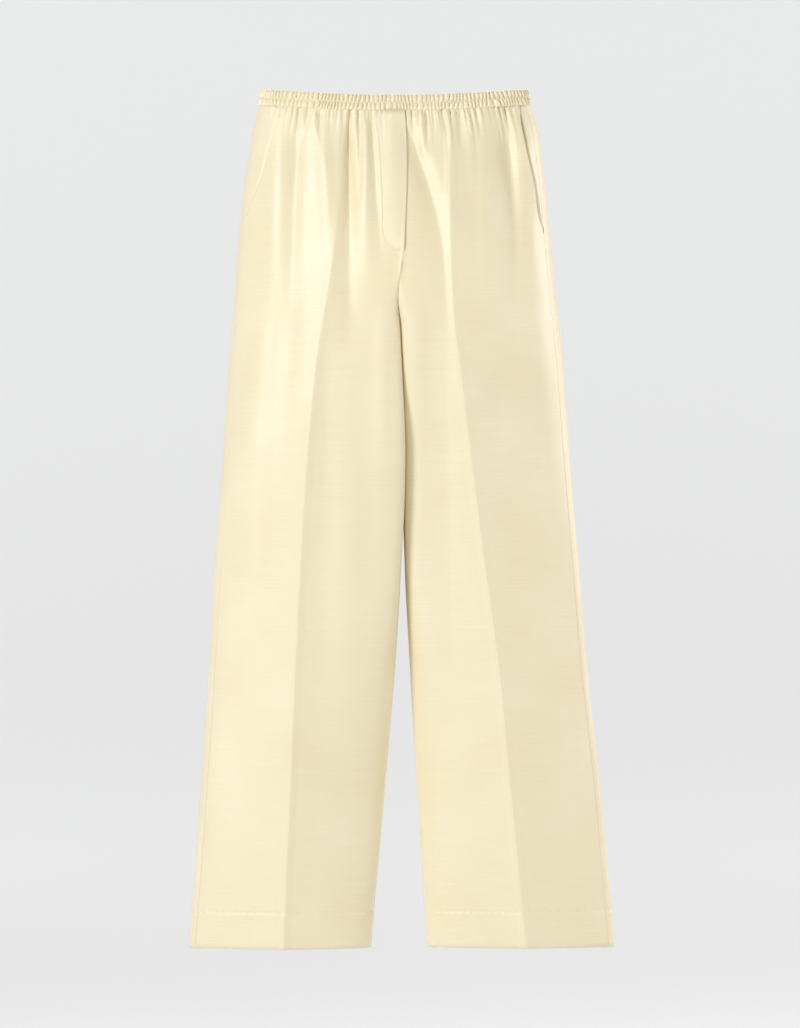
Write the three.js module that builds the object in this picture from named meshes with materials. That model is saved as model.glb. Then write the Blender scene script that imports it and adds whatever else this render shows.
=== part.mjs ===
// Wide-leg trousers with an elastic waistband, a mock fly and slanted side pockets,
// filled out as if worn: hollow, with the waist and both hems open.
// Millimetres, +Z up. The front faces -Y, and +X is the wearer's left.
// The origin is in the middle of the waist opening, and a "drop" is a depth below it.
import * as THREE from "three";

// Cloth and seams
const WALL = 1.4; // cloth with its seam allowances
const SEAM_GAP = 0.3; // between two pieces that are sewn together
const UNDERLAP_GAP = 1.1; // between the pocket facing and the cloth over it
const HEM_DEPTH = 45; // turned up inside each leg
const HEM_WALL = 2.6; // doubled cloth in the turn-up

// Waistband: an elastic casing, ruched in two rows by a middle line of stitching
const BAND_HEIGHT = 16;
const BAND_WALL = 1.6;
const BAND_RIBS = 148;
const RIB_DEPTH = 1.5;
const DIP_FRONT = 9; // the top edge hangs lower at the middle than at the sides
const DIP_BACK = 4;

// Garment levels
const OUTSEAM = 1060;
const CROTCH_DROP = 285;
const RISE_TURN = 85; // height over which the rise curves under
const CROTCH_Y = 8;
const TORSO_POWER = 2.3; // 2 is an ellipse, and more is squarer
// The inside quarter of a leg is full at the crotch and turns in close to its seam, less so lower down.
const INNER_POWER = { crotch: 5.6, hem: 2.4 };
const INNER_SHARP = { crotch: 0.2, hem: 0.7 };
const SEAT_CREASE = 82; // from the middle of the seat out to a crease
const SIDE_SEAM_TURN = 0.24; // side seam: this share of the outer quarter lies behind it
const INSEAM_TURN = 0.16; // inseam: the same for the inner quarter, reached at the hem

// Mock fly
const FLY_WIDTH = 30;
const FLY_DROP = 196;
const FLY_CORNER = 26;
const FLY_WALL = 1;
const FLY_GAP = 0.7; // between the fly and the front that it lies on

// Slanted pocket openings: x across the opening, from the waistband down
const POCKET_DROP = 184;
const POCKET_TUCK = 14; // how far the facing runs on under the front
const FACING_WALL = 1.2;

// Outline of the garment at each level: the wearer's right side has negative x.
// Creases are where the legs are pressed, inner is the centre seam and then the inside of each leg.
const LEVELS = [
  { drop: 0, outR: -170.5, creaseR: -96.7, innerR: 3.7, innerL: 3.7, creaseL: 62, outL: 158.1, front: 47, back: 50 },
  { drop: 15, outR: -174.8, creaseR: -96.7, innerR: 3.7, innerL: 3.7, creaseL: 62, outL: 161.2, front: 50, back: 54 },
  { drop: 50, outR: -182.7, creaseR: -96.7, innerR: 5.6, innerL: 5.6, creaseL: 62, outL: 171.4, front: 61, back: 74 },
  { drop: 120, outR: -194.4, creaseR: -96.7, innerR: 6, innerL: 6, creaseL: 62, outL: 181, front: 80, back: 98 },
  { drop: 200, outR: -202.4, creaseR: -95.5, innerR: 3.1, innerL: 3.1, creaseL: 62, outL: 188.9, front: 92, back: 108 },
  { drop: 285, outR: -208.3, creaseR: -99.8, innerR: 2, innerL: 2, creaseL: 67, outL: 197.4, front: 94, back: 106 },
  { drop: 345, outR: -213.3, creaseR: -105.9, innerR: 2.6, innerL: 3, creaseL: 74.4, outL: 203.4, front: 90, back: 98 },
  { drop: 450, outR: -219.5, creaseR: -113.7, innerR: 5.9, innerL: 5.7, creaseL: 87.5, outL: 211.2, front: 79, back: 83 },
  { drop: 570, outR: -228.2, creaseR: -121.5, innerR: 2.4, innerL: 5.2, creaseL: 102.9, outL: 220.7, front: 66, back: 66 },
  { drop: 720, outR: -236.8, creaseR: -129, innerR: -6.4, innerL: 12.4, creaseL: 123.3, outL: 233.1, front: 56, back: 57 },
  { drop: 865, outR: -246.8, creaseR: -135.2, innerR: -18.6, innerL: 21.1, creaseL: 137.1, outL: 249.2, front: 51, back: 53 },
  { drop: 1060, outR: -261.6, creaseR: -143.8, innerR: -36, innerL: 33.5, creaseL: 156.6, outL: 266.6, front: 49, back: 53 },
];

// Where each slanted opening crosses the front, from the waistband to the side seam
const POCKETS = {
  R: [
    { drop: 0, x: -148 },
    { drop: 41, x: -154 },
    { drop: 81, x: -164 },
    { drop: 108, x: -171 },
    { drop: 150, x: -188 },
    { drop: 184, x: -198 },
  ],
  L: [
    { drop: 0, x: 146.5 },
    { drop: 41, x: 149.5 },
    { drop: 81, x: 156 },
    { drop: 119, x: 163.5 },
    { drop: 150, x: 168.5 },
    { drop: 184, x: 178.5 },
  ],
};

// Folds in the front: a line from (x, drop) to (x2, drop2), how wide and how deep.
// A positive depth is a ridge towards the viewer, and a negative one is a trough.
const FRONT_FOLDS = [
  { x: -128, drop: 16, x2: -146, drop2: 330, width: 20, depth: 3.2 },
  { x: -104, drop: 16, x2: -122, drop2: 300, width: 13, depth: -3.6 },
  { x: -80, drop: 16, x2: -84, drop2: 300, width: 13, depth: 3.8 },
  { x: -64, drop: 16, x2: -66, drop2: 290, width: 8, depth: -4.2 },
  { x: -48, drop: 16, x2: -44, drop2: 120, width: 4.5, depth: -1.8 },
  { x: -31, drop: 16, x2: -28, drop2: 140, width: 5, depth: -1.6 },
  { x: 24, drop: 16, x2: 30, drop2: 390, width: 12, depth: 3 },
  { x: 43, drop: 16, x2: 50, drop2: 420, width: 12, depth: -3.2 },
  { x: 88, drop: 16, x2: 96, drop2: 240, width: 12, depth: -2.4 },
  { x: 112, drop: 16, x2: 118, drop2: 330, width: 13, depth: 3.2 },
  { x: 128, drop: 16, x2: 150, drop2: 340, width: 12, depth: -3.4 },
];
const BACK_FOLDS = [
  { x: -136, drop: 16, x2: -150, drop2: 300, width: 16, depth: 3 },
  { x: -112, drop: 16, x2: -120, drop2: 250, width: 12, depth: -3 },
  { x: -72, drop: 16, x2: -66, drop2: 280, width: 13, depth: 3.4 },
  { x: -44, drop: 16, x2: -38, drop2: 200, width: 9, depth: -3 },
  { x: 36, drop: 16, x2: 30, drop2: 260, width: 12, depth: 3.2 },
  { x: 62, drop: 16, x2: 66, drop2: 230, width: 9, depth: -2.8 },
  { x: 98, drop: 16, x2: 108, drop2: 300, width: 14, depth: 3.4 },
  { x: 128, drop: 16, x2: 142, drop2: 270, width: 11, depth: -3 },
];

// Small gathers that hang from the waistband and fade out
const GATHERS = { front: 13, back: 13 }; // on each half
const GATHER_DEPTH = 1.5;
const GATHER_LENGTH = 62;
const GATHERED_SHARE = 0.68; // of each half, from the centre seam, before the pocket
const FLY_SHARE = 0.18; // of the wearer's right half, kept smooth under the fly

// Grid of a panel: fine columns near the waistband, half as many below
const FINE_COLUMNS = 40;
const FINE_DROPS = [24, 34, 48, 66, 90];
const COARSE_DROPS = [
  120, 150, 180, 208, 232, 252, 268, 279, 285, 300, 330, 380, 450, 540, 650, 770, 900,
];

const LEG = { R: { side: -1, stride: -10 }, L: { side: 1, stride: 10 } };

const smooth = (t) => {
  const c = Math.min(1, Math.max(0, t));
  return c * c * (3 - 2 * c);
};
const mix = (a, b, t) => a + (b - a) * t;

// Smooth curve through one column of a table of rows that have a drop.
function along(rows, column, drop) {
  const last = rows.length - 1;
  let i = 0;
  while (i < last - 1 && drop > rows[i + 1].drop) i++;
  const slope = (k) => {
    const a = rows[Math.max(0, k - 1)];
    const b = rows[Math.min(last, k + 1)];
    return (b[column] - a[column]) / (b.drop - a.drop);
  };
  const step = rows[i + 1].drop - rows[i].drop;
  const t = Math.min(1, Math.max(0, (drop - rows[i].drop) / step));
  const t2 = t * t;
  const t3 = t2 * t;
  return (
    (2 * t3 - 3 * t2 + 1) * rows[i][column] +
    (t3 - 2 * t2 + t) * step * slope(i) +
    (3 * t2 - 2 * t3) * rows[i + 1][column] +
    (t3 - t2) * step * slope(i + 1)
  );
}
const level = (column, drop) => along(LEVELS, column, drop);

// Height of the top edge: it dips between the sides.
function dip(x, drop, front) {
  const middle = (level("outR", drop) + level("outL", drop)) / 2;
  const half = (level("outL", drop) - level("outR", drop)) / 2;
  const u = Math.min(1, Math.abs(x - middle) / half);
  return (front ? DIP_FRONT : DIP_BACK) * (1 - u * u);
}

// How far the legs have parted at the rise: 0 in the seat, 1 below the crotch,
// turning under between them.
function parted(drop) {
  return Math.pow(Math.min(1, Math.max(0, (drop - CROTCH_DROP + RISE_TURN) / RISE_TURN)), 3);
}

// Folds and gathers, as a distance out of the smooth form.
function foldDepth(x, drop, front) {
  let d = 0;
  for (const f of front ? FRONT_FOLDS : BACK_FOLDS) {
    const t = (drop - f.drop) / (f.drop2 - f.drop);
    if (t < 0 || t > 1) continue;
    const u = (x - mix(f.x, f.x2, t)) / (f.width * mix(0.75, 1.4, t));
    d += f.depth * Math.exp(-u * u) * smooth(3 * t + 0.35) * (1 - smooth(t));
  }
  return d;
}
function gatherDepth(x, drop, leg, front) {
  const inner = level("inner" + leg, drop);
  const out = level("out" + leg, drop);
  const u = (x - inner) / (out - inner);
  const count = front ? GATHERS.front : GATHERS.back;
  const drift = 0.35 * Math.sin(9.7 * u + (front ? 0 : 2) + LEG[leg].side);
  const wave = Math.cos(2 * Math.PI * (count * u + drift));
  const length = GATHER_LENGTH * (1 + 0.55 * Math.sin(17 * u + (front ? 1 : 3)));
  const fade = Math.max(0, 1 - (drop - BAND_HEIGHT) / length);
  const beforePocket = 1 - smooth((u - GATHERED_SHARE) / 0.12);
  const pastFly = front && leg === "R" ? smooth((u - FLY_SHARE) / 0.06) : 1;
  return GATHER_DEPTH * wave * fade * beforePocket * pastFly;
}

// Depth of the seat's section at a distance from its middle, as a share of its full depth.
function seatRound(distance, half) {
  const u = Math.min(1, Math.abs(distance) / half);
  return Math.pow(1 - Math.pow(u, TORSO_POWER), 1 / TORSO_POWER);
}

// A point of the cloth's outside. `turn` runs round one half of the garment: 0 is the centre front or
// the inside of the leg, 1 the front crease, 2 the side, 3 the back crease, 4 the centre back.
function cloth(leg, turn, drop) {
  const wrapped = turn > 4 ? turn - 4 : turn;
  const front = wrapped < 2;
  const outer = wrapped >= 1 && wrapped < 3;
  const crease = level("crease" + leg, drop);
  const legGap = (LEG[leg].side * SEAM_GAP) / 2;
  const end = outer ? level("out" + leg, drop) : level("inner" + leg, drop) + legGap;
  const angle = (outer ? 2 - wrapped : front ? wrapped : 4 - wrapped) * (Math.PI / 2);
  // The angle is a right angle at the crease and 0 at the side or inside.
  const bend = outer ? Math.abs(angle) : angle;
  const across = Math.cos(bend);
  const up = Math.sin(bend);
  const x = crease + (end - crease) * across;
  const way = front ? -1 : 1;

  const sideY = 10 * smooth(drop / 160) * (1 - smooth((drop - 260) / 300));
  const sharp = 0.14 + 0.36 * smooth((drop - 150) / 450);
  const lower = smooth((drop - 330) / 420);
  const power = mix(INNER_POWER.crotch, INNER_POWER.hem, lower);
  const full = Math.pow(1 - Math.pow(across, power), 1 / power);
  const innerSharp = sharp * mix(INNER_SHARP.crotch, INNER_SHARP.hem, lower);
  const lens = outer ? mix(up, 1 - across, sharp) : mix(full, 1 - across, innerSharp);
  const depth = level(front ? "front" : "back", drop) * way;

  // In the seat the whole section is one rounded form.
  const half = (level("outL", drop) - level("outR", drop)) / 2;
  const middle = (level("outL", drop) + level("outR", drop)) / 2;
  const seatY = sideY + ((depth - sideY) * seatRound(x - middle, half)) / seatRound(SEAT_CREASE, half);

  // In a leg it is an almond between the front and the back crease.
  const legStride = LEG[leg].stride * smooth((drop - CROTCH_DROP) / 160);
  const base = outer ? sideY : CROTCH_Y;
  const legY = base + (depth - base) * lens + legStride;
  const wide = smooth((drop - 140) / 250);
  const legShare = outer ? wide : mix(wide, parted(drop), Math.pow(across, 3));
  const y = mix(seatY, legY, legShare);
  const out = foldDepth(x, drop, front) + gatherDepth(x, drop, leg, front);
  const share = outer ? Math.min(1, up * 1.6) : mix(1, Math.min(1, up * 1.6), legShare);
  return new THREE.Vector3(x, y + way * out * share, -drop);
}

// Drops are measured from the dipped top edge, and run level again lower down.
function clothPoint(leg, turn, drop) {
  const p = cloth(leg, turn, drop);
  const front = (turn > 4 ? turn - 4 : turn) < 2;
  p.z -= dip(p.x, drop, front) * (1 - smooth((drop - BAND_HEIGHT) / 150));
  return p;
}

// Outward direction at a point, from its neighbours round and down.
function outward(leg, turn, drop) {
  const e = 0.02;
  const round = clothPoint(leg, turn + e, drop).sub(clothPoint(leg, Math.max(0, turn - e), drop));
  const low = Math.min(OUTSEAM, drop + 2);
  const down = clothPoint(leg, turn, low).sub(clothPoint(leg, turn, drop - 2));
  const normal = round.cross(down).multiplyScalar(-LEG[leg].side);
  const fromCentre = Math.min(turn, Math.abs(4 - turn));
  if (fromCentre < e) normal.x *= parted(drop); // the centre seam's edges stay square to it
  return normal.normalize();
}
function offsetPoint(leg, turn, drop, out) {
  return clothPoint(leg, turn, drop).addScaledVector(outward(leg, turn, drop), out);
}

// A closed wall through a grid of outside points and the inside point behind each.
// Each row may hold every column or every second one.
function wallFromRows(rows) {
  const positions = [];
  const layers = [[], []];
  rows.forEach((row) => {
    [row.outside, row.inside].forEach((points, layer) => {
      layers[layer].push(
        points.map((p) => {
          positions.push(p.x, p.y, p.z);
          return positions.length / 3 - 1;
        }),
      );
    });
  });
  const faces = [];
  const quad = (a, b, c, d) => faces.push(a, b, c, a, c, d);
  const sheet = (layer, flip) => {
    const push = (a, b, c) => (flip ? faces.push(a, c, b) : faces.push(a, b, c));
    for (let r = 0; r + 1 < layer.length; r++) {
      const [top, low] = [layer[r], layer[r + 1]];
      if (top.length === low.length) {
        for (let c = 0; c + 1 < top.length; c++) {
          push(top[c], low[c], low[c + 1]);
          push(top[c], low[c + 1], top[c + 1]);
        }
        continue;
      }
      for (let c = 0; c + 1 < low.length; c++) {
        push(top[2 * c], low[c], top[2 * c + 1]);
        push(top[2 * c + 1], low[c], low[c + 1]);
        push(top[2 * c + 1], low[c + 1], top[2 * c + 2]);
      }
    }
  };
  const [outside, inside] = layers;
  sheet(outside, false);
  sheet(inside, true);
  const last = rows.length - 1;
  for (let c = 0; c + 1 < outside[0].length; c++) {
    quad(inside[0][c], outside[0][c], outside[0][c + 1], inside[0][c + 1]);
  }
  for (let c = 0; c + 1 < outside[last].length; c++) {
    quad(outside[last][c], inside[last][c], inside[last][c + 1], outside[last][c + 1]);
  }
  for (let r = 0; r < last; r++) {
    quad(outside[r][0], inside[r][0], inside[r + 1][0], outside[r + 1][0]);
    const [a, b] = [outside[r].length - 1, outside[r + 1].length - 1];
    quad(inside[r][a], outside[r][a], outside[r + 1][b], inside[r + 1][b]);
  }
  return geometryOf(positions, faces);
}

function geometryOf(positions, faces) {
  const geometry = new THREE.BufferGeometry();
  geometry.setAttribute("position", new THREE.Float32BufferAttribute(positions, 3));
  geometry.setIndex(faces);
  const signed = signedVolume(positions, faces);
  if (signed < 0) geometry.setIndex(faces.slice().reverse());
  geometry.computeVertexNormals();
  return geometry;
}
function signedVolume(positions, faces) {
  const at = (i) => new THREE.Vector3().fromArray(positions, 3 * i);
  let sum = 0;
  for (let i = 0; i < faces.length; i += 3) {
    sum += at(faces[i]).dot(at(faces[i + 1]).cross(at(faces[i + 2])));
  }
  return sum / 6;
}

// Where an opening or a seam crosses a level, as a turn on the outer front quarter.
function turnAtX(leg, x, drop) {
  const crease = level("crease" + leg, drop);
  const out = level("out" + leg, drop);
  const across = Math.min(1, Math.max(0, (x - crease) / (out - crease)));
  return 2 - Math.acos(across) / (Math.PI / 2);
}
const sideSeam = () => 2 - SIDE_SEAM_TURN;
const inseam = (drop) => INSEAM_TURN * smooth((drop - CROTCH_DROP) / (OUTSEAM - CROTCH_DROP));
function pocketEdge(leg, drop) {
  const seam = sideSeam();
  if (drop >= POCKET_DROP) return seam;
  const opening = turnAtX(leg, along(POCKETS[leg], "x", drop), drop);
  return Math.min(seam, mix(opening, seam, smooth((drop - POCKET_DROP + 24) / 24)));
}

// Rows of a panel between two edges, each edge a turn that depends on the drop.
function panel(leg, startAt, endAt) {
  const drops = [BAND_HEIGHT + SEAM_GAP, ...FINE_DROPS, ...COARSE_DROPS];
  const fineRows = FINE_DROPS.length + 1;
  const hemTop = OUTSEAM - HEM_DEPTH;
  drops.push(hemTop, hemTop + 1, OUTSEAM);
  const rows = drops.map((drop, r) => {
    const columns = r < fineRows ? FINE_COLUMNS : FINE_COLUMNS / 2;
    const wall = drop > hemTop ? HEM_WALL : WALL;
    const [start, end] = seamGaps(leg, startAt(drop), endAt(drop), drop);
    const outside = [];
    const inside = [];
    const crease = start < 1 ? 1 : 3;
    for (let c = 0; c <= columns; c++) {
      const share = (2 * c) / columns;
      const turn = share < 1 ? mix(start, crease, share) : mix(crease, end, share - 1);
      outside.push(offsetPoint(leg, turn, drop, 0));
      inside.push(offsetPoint(leg, turn, drop, -wall));
    }
    return { outside, inside };
  });
  return wallFromRows(rows);
}

// Each edge stops half a seam gap short of the seam line. At the centre seam the legs' own gap does it.
function seamGaps(leg, start, end, drop) {
  const e = 0.01;
  const shift = (turn, step) => {
    const centre = turn < 1 || turn > 3;
    const length = clothPoint(leg, turn + step, drop).distanceTo(clothPoint(leg, turn, drop));
    return ((SEAM_GAP / 2) * step * (centre ? parted(drop) : 1)) / length;
  };
  return [start + shift(start, e), end + shift(end, -e)];
}

// The pocket facing lies behind the slanted opening, just inside the front and the back.
function pocketFacing(leg) {
  const inset = WALL + UNDERLAP_GAP;
  const above = [...FINE_DROPS, ...COARSE_DROPS].filter((drop) => drop < POCKET_DROP);
  const drops = [BAND_HEIGHT + SEAM_GAP, ...above, POCKET_DROP];
  const columns = 10;
  const rows = drops.map((drop) => {
    const crease = level("crease" + leg, drop);
    const out = level("out" + leg, drop);
    const tuck = POCKET_TUCK / Math.abs(out - crease);
    const opening = pocketEdge(leg, drop) - tuck;
    const outside = [];
    const inside = [];
    for (let c = 0; c <= columns; c++) {
      const turn = mix(opening, sideSeam() + 0.1, c / columns);
      outside.push(offsetPoint(leg, turn, drop, -inset));
      inside.push(offsetPoint(leg, turn, drop, -inset - FACING_WALL));
    }
    return { outside, inside };
  });
  return wallFromRows(rows);
}

// The mock fly lies on the wearer's right front, from the centre seam outwards, with a round lower corner.
function mockFly() {
  const top = BAND_HEIGHT + SEAM_GAP;
  const columns = 6;
  const steps = 11;
  const rows = [];
  for (let r = 0; r <= steps; r++) {
    const drop = mix(top, FLY_DROP, 1 - Math.pow(1 - r / steps, 1.6));
    const left = FLY_DROP - drop;
    const corner = left < FLY_CORNER ? Math.sqrt(1 - Math.pow(1 - left / FLY_CORNER, 2)) : 1;
    const inner = level("innerR", drop);
    const crease = level("creaseR", drop);
    const width = mix(3, FLY_WIDTH, corner);
    const outside = [];
    const inside = [];
    for (let c = 0; c <= columns; c++) {
      const x = inner - SEAM_GAP - (width * c) / columns;
      const turn = Math.acos((x - crease) / (inner - crease)) / (Math.PI / 2);
      outside.push(offsetPoint("R", turn, drop, FLY_GAP + FLY_WALL));
      inside.push(offsetPoint("R", turn, drop, FLY_GAP));
    }
    rows.push({ outside, inside });
  }
  return wallFromRows(rows);
}

// The waistband is one ring: ribs in its outer points, and a plain inside.
function waistband() {
  const around = 2 * BAND_RIBS;
  const steps = [
    { drop: 0, rib: 0.45 },
    { drop: 0.22 * BAND_HEIGHT, rib: 1 },
    { drop: 0.5 * BAND_HEIGHT, rib: 0.25 },
    { drop: 0.78 * BAND_HEIGHT, rib: 1 },
    { drop: BAND_HEIGHT, rib: 0.5 },
  ];
  const positions = [];
  const ring = (drop, out, rib) => {
    for (let i = 0; i < around; i++) {
      const p = bandPoint(i / around, drop, out + (i % 2 ? 0 : rib * RIB_DEPTH));
      positions.push(p.x, p.y, p.z);
    }
  };
  steps.forEach((s) => ring(s.drop, 0, s.rib));
  ring(BAND_HEIGHT, -BAND_WALL, 0);
  ring(0, -BAND_WALL, 0);
  const faces = [];
  const rings = steps.length + 2;
  for (let r = 0; r < rings; r++) {
    for (let i = 0; i < around; i++) {
      const a = r * around + i;
      const b = r * around + ((i + 1) % around);
      const c = ((r + 1) % rings) * around + ((i + 1) % around);
      const d = ((r + 1) % rings) * around + i;
      faces.push(a, b, c, a, c, d);
    }
  }
  return geometryOf(positions, faces);
}

// A point of the smooth band: `share` runs once round the waist, evenly by angle.
function bandPoint(share, drop, out) {
  const left = level("outL", drop);
  const right = level("outR", drop);
  const middle = (left + right) / 2;
  const half = (left - right) / 2;
  const angle = 2 * Math.PI * share;
  const front = Math.sin(angle) < 0;
  const power = 2 / TORSO_POWER;
  const shape = (v) => Math.sign(v) * Math.pow(Math.abs(v), power);
  const u = shape(Math.cos(angle));
  const round = (x) =>
    Math.pow(1 - Math.pow(Math.abs((x - middle) / half), TORSO_POWER), 1 / TORSO_POWER);
  const crease = (level("creaseL", drop) - level("creaseR", drop)) / 2;
  const depth = level(front ? "front" : "back", drop) / round(middle + crease);
  const v = shape(Math.sin(angle));
  const normal = new THREE.Vector2(Math.cos(angle) / half, Math.sin(angle) / depth).normalize();
  const x = middle + half * u + normal.x * out;
  const y = depth * v + normal.y * out;
  return new THREE.Vector3(x, y, -drop - dip(middle + half * u, drop, front));
}

const satin = () => new THREE.MeshStandardMaterial({ color: 0xf3ead0, roughness: 0.5, metalness: 0 });

const trousers = new THREE.Group();
function add(name, geometry) {
  const mesh = new THREE.Mesh(geometry, satin());
  mesh.name = name;
  trousers.add(mesh);
}

add("waistband", waistband());
for (const [leg, name] of [["R", "right"], ["L", "left"]]) {
  add("front_" + name, panel(leg, inseam, (drop) => pocketEdge(leg, drop)));
  add("back_" + name, panel(leg, () => sideSeam(), (drop) => 4 + inseam(drop)));
  add("pocket_facing_" + name, pocketFacing(leg));
}
add("mock_fly", mockFly());

export default trousers;
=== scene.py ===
# %% [markdown]
# # Wide-leg trousers in cream satin
# The frame holds the trousers' panels as plain walls. This notebook dresses each of them as sewn cloth:
# gathers that hang from a ruched elastic waistband, a mock fly with topstitching, slanted pockets,
# pressed creases, open-pressed seams and deep blind-stitched hems. Each step says what the piece is on
# the real garment, how it could be made, and why this way was chosen.

# %% Load the frame
import math

import bpy
import numpy as np
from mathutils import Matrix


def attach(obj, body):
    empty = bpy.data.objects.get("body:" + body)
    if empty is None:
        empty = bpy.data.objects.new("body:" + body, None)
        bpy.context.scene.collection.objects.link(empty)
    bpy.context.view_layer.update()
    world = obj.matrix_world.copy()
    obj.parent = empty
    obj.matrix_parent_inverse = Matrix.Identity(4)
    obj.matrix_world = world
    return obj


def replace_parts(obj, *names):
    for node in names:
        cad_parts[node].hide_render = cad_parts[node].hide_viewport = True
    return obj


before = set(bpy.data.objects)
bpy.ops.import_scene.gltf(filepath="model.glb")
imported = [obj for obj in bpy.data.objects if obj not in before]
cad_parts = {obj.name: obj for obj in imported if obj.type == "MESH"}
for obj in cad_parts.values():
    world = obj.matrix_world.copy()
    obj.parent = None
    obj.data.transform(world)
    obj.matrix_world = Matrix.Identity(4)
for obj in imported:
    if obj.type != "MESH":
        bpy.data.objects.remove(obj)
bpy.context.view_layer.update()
BODY = "root"
MM = 0.001  # the garment is worked out in millimetres and built in metres
print("nodes:", sorted(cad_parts))

# %% [markdown]
# ## The garment's form
# A pattern cutter thinks in levels: waist, hip, crotch, knee and hem. The same table that the solids use
# drives every surface here. It could be read back from the solids' vertices, but a formula gives smooth
# cloth at any fineness, and every seam knows where it lies.

# %% Levels of the garment, in millimetres below the waist
COLUMNS = ("drop", "outR", "creaseR", "innerR", "innerL", "creaseL", "outL", "front", "back")
LEVELS = np.array([
    (0, -170.5, -68, 3.7, 3.7, 62, 158.1, 47, 50),
    (15, -174.8, -68, 3.7, 3.7, 62, 161.2, 50, 54),
    (50, -182.7, -69, 5.6, 5.6, 62, 171.4, 61, 74),
    (120, -194.4, -72.5, 6, 6, 62, 181, 80, 98),
    (200, -202.4, -80.5, 3.1, 3.1, 62, 188.9, 92, 108),
    (285, -208.3, -94.5, 2, 2, 67, 197.4, 94, 106),
    (345, -213.3, -103.5, 2.6, 3, 74.4, 203.4, 90, 98),
    (450, -219.5, -113.7, 5.9, 5.7, 87.5, 211.2, 79, 83),
    (570, -228.2, -121.5, 2.4, 5.2, 102.9, 220.7, 66, 66),
    (720, -236.8, -129, -6.4, 12.4, 123.3, 233.1, 56, 57),
    (865, -246.8, -135.2, -18.6, 21.1, 137.1, 249.2, 51, 53),
    (1060, -261.6, -143.8, -36, 33.5, 156.6, 266.6, 49, 53),
])
BAND_HEIGHT = 16
OUTSEAM = 1060
HEM_DEPTH = 45
CROTCH_DROP, CROTCH_Y = 285, 8
RISE_TURN = 85  # height of the rise, where the legs part
PARTING_POWER = 24  # they part in a narrow strip along the centre
SEAT_CREASE, SEAT_POWER = 82, 2.3  # where the seat has its full depth, and how square its section is
SHARP_SEAT, SHARP_LEG = 0.14, 0.5  # how pointed a leg's section is at its outer edge
INNER_POWER, INNER_SHARP = (16, 2.6), (0.1, 0.6)  # the inner half's section, under the crotch and low down
INNER_CHANGES = (380, 420)  # the first turns into the second from this drop on, over this length
SIDE_BACKWARD = 10  # how far back the side's edge lies at the hip
# Where along the drop these forms change: from a drop on, and over a length
SIDE_GOES_BACK, SIDE_COMES_FORWARD = (0, 160), (260, 300)
SEAT_TO_LEG, LEG_SHARPENS, STRIDE_GROWS = (140, 250), (150, 450), (CROTCH_DROP, 160)
PRESSED_FROM, PRESSED_TO = (CROTCH_DROP - 60, 40), (520, 50)
DIP_FRONT, DIP_BACK, DIP_FADES = 9, 4, 150
SEAM_GAP = 0.1
LEGS_PRESSED = 1.0  # how far each leg presses over the centre line
LINE_BEND, LINE_BEND_DROP, LINE_BEND_LENGTH = -4.5, 256, 30  # the line wanders to the wearer's right
SIDE_SEAM, INSEAM = 2 - 0.24, 0.16  # as turns
POCKET_DROP = 184
SIDE = {"R": -1, "L": 1}
STRIDE = {"R": -10, "L": 10}  # one leg hangs a little ahead of the other


def curve_through(knots, values, at):
    """Smooth curve through points: cubic Hermite, each slope taken from the points on both sides."""
    knots, values = np.asarray(knots, float), np.asarray(values, float)
    last = len(knots) - 1
    before = np.maximum(np.arange(last + 1) - 1, 0)
    after = np.minimum(np.arange(last + 1) + 1, last)
    slopes = (values[after] - values[before]) / (knots[after] - knots[before])
    i = np.clip(np.searchsorted(knots, at, side="right") - 1, 0, last - 1)
    step = knots[i + 1] - knots[i]
    t = np.clip((at - knots[i]) / step, 0, 1)
    return ((2 * t**3 - 3 * t**2 + 1) * values[i] + (t**3 - 2 * t**2 + t) * step * slopes[i]
            + (3 * t**2 - 2 * t**3) * values[i + 1] + (t**3 - t**2) * step * slopes[i + 1])


def level(column, drop):
    """One column of the table at any drop."""
    return curve_through(LEVELS[:, 0], LEVELS[:, COLUMNS.index(column)], drop)


def smooth(t):
    """Eases from 0 to 1 while t runs from 0 to 1."""
    t = np.clip(t, 0, 1)
    return t * t * (3 - 2 * t)


def ramp(drop, start, over):
    """Eases from 0 to 1 from a drop on, over a length."""
    return smooth((drop - start) / over)


def mix(a, b, t):
    """a where t is 0, and b where it is 1."""
    return a + (b - a) * t


print("hips", round(float(level("outL", 200) - level("outR", 200))), "mm across")
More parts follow.
